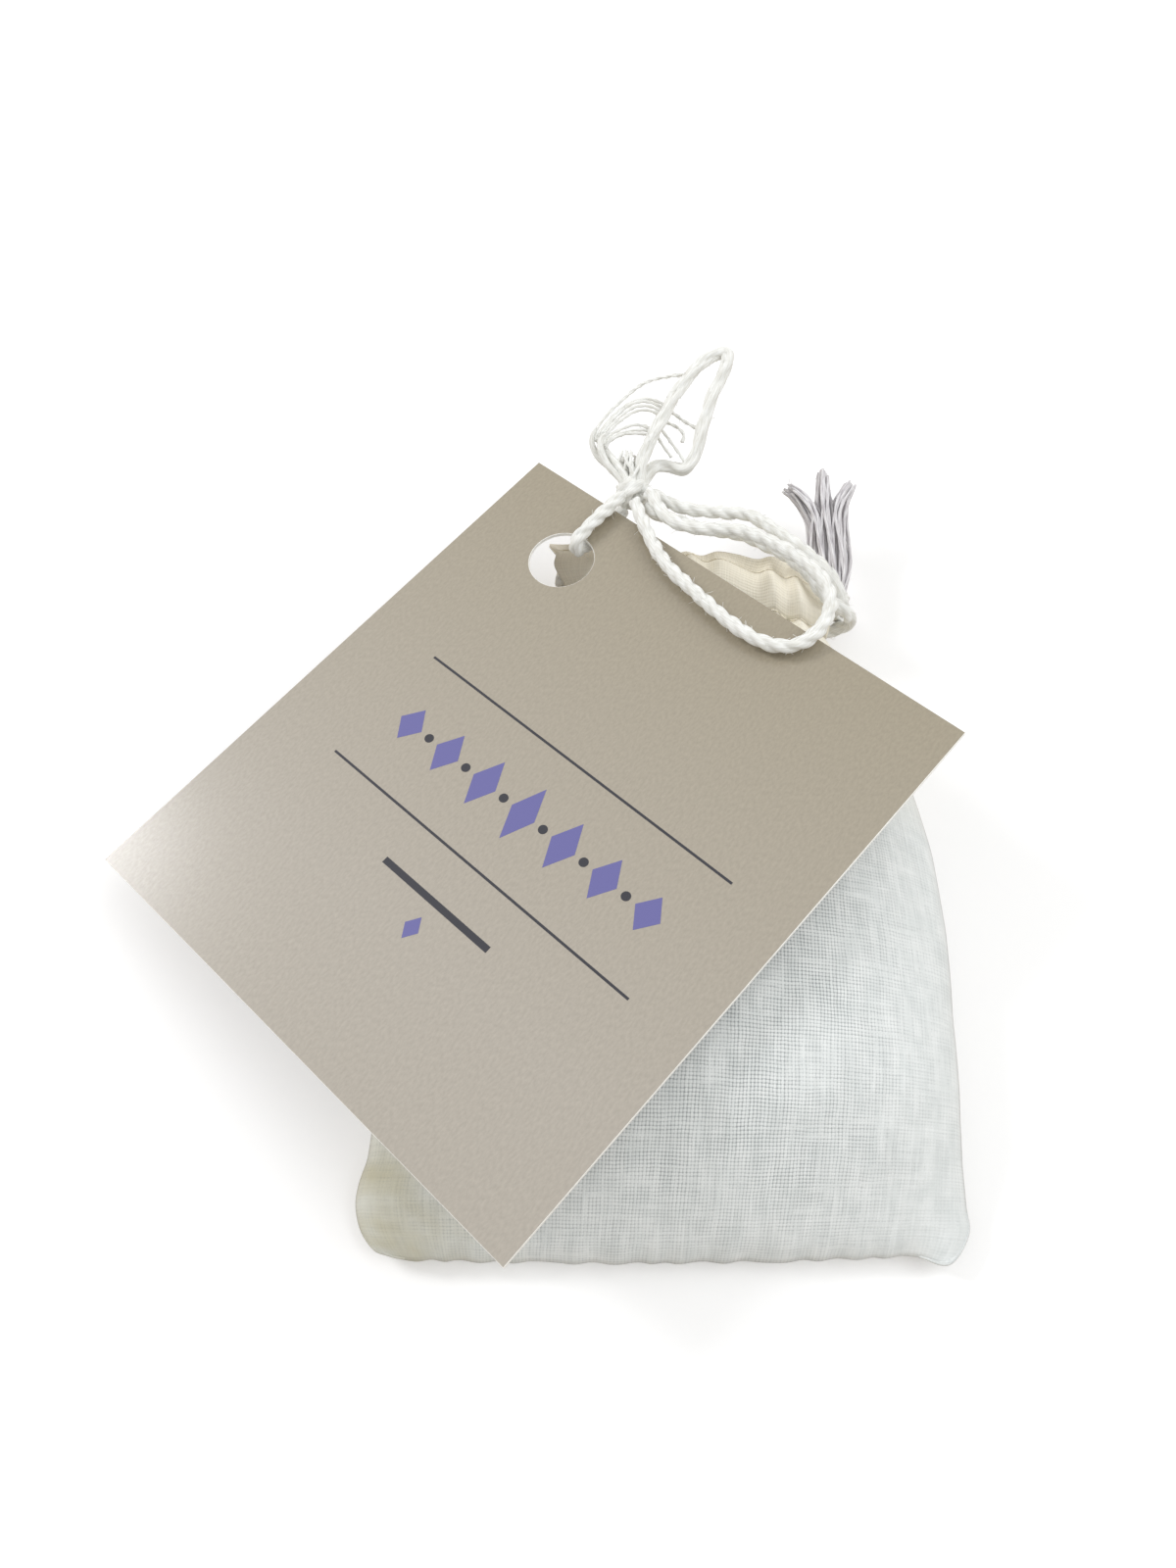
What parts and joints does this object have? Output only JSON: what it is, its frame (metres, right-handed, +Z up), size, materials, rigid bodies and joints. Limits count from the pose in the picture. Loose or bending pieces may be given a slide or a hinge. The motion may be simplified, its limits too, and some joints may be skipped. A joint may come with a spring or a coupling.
{
  "type": "lavender sachet",
  "caption": "Small filled muslin drawstring bag lying on its back, gathered and tied at the neck with cotton cord, with a square-cut card tag hung on the tie through a punched hole.",
  "frame": {"origin": "middle of the flat underside on which the bag lies", "axes": "+Y along the bag from its bottom seam to the tied neck, +Z up away from the surface it lies on, +X to the right as seen from above with the neck away"},
  "size_m": [0.0948, 0.1083, 0.0211],
  "materials": {
    "muslin": "plain-weave unbleached-white cotton muslin, matte",
    "cotton_cord": "twisted three-ply cotton cord, soft and matte",
    "frayed_cotton": "untwisted cotton plies, fuzzy and matte",
    "tag_card": "felt-marked greige card with a faint sheen and white cut edges",
    "lavender_buds": "loose dried lavender buds"
  },
  "bodies": {
    "bag": {"front_panel": "muslin", "back_panel": "muslin", "front_hem_channel": "muslin", "back_hem_channel": "muslin", "front_ruffle": "muslin", "back_ruffle": "muslin", "lavender_filling": "lavender_buds", "tied_drawstring": "cotton_cord", "tail_drawstring": "cotton_cord", "upper_tie_strand": "cotton_cord", "lower_tie_strand": "cotton_cord", "tie_knot": "cotton_cord", "long_bow_end": "cotton_cord", "short_bow_end": "cotton_cord", "loose_yarn_1": "cotton_cord", "loose_yarn_2": "cotton_cord", "loose_yarn_3": "cotton_cord", "tail_knot": "cotton_cord", "tail_ply_1": "frayed_cotton", "tail_ply_2": "frayed_cotton", "tail_ply_3": "frayed_cotton"},
    "tie": {"tag_tie": "cotton_cord"},
    "tag": {"tag_card": "tag_card"},
    "bow": {"bow_loop": "cotton_cord"}
  },
  "joints": [
    {"name": "tag_swing", "type": "hinge", "parent": "bag", "child": "tie", "pos_m": [-0.00787, 0.04435, 0.01485], "axis": [-0.7746, 0.6206, -0.1219], "range_deg": [0, 80]},
    {"name": "tag_swivel", "type": "hinge", "parent": "tie", "child": "tag", "pos_m": [-0.01585, 0.03424, 0.01409], "axis": [-0.132, 0.0298, 0.9908], "range_deg": [-18, 18]},
    {"name": "loop_lift", "type": "hinge", "parent": "tie", "child": "bow", "pos_m": [-0.00787, 0.04435, 0.01485], "axis": [-0.6185, -0.7836, -0.0589], "range_deg": [0, 35]}
  ]
}
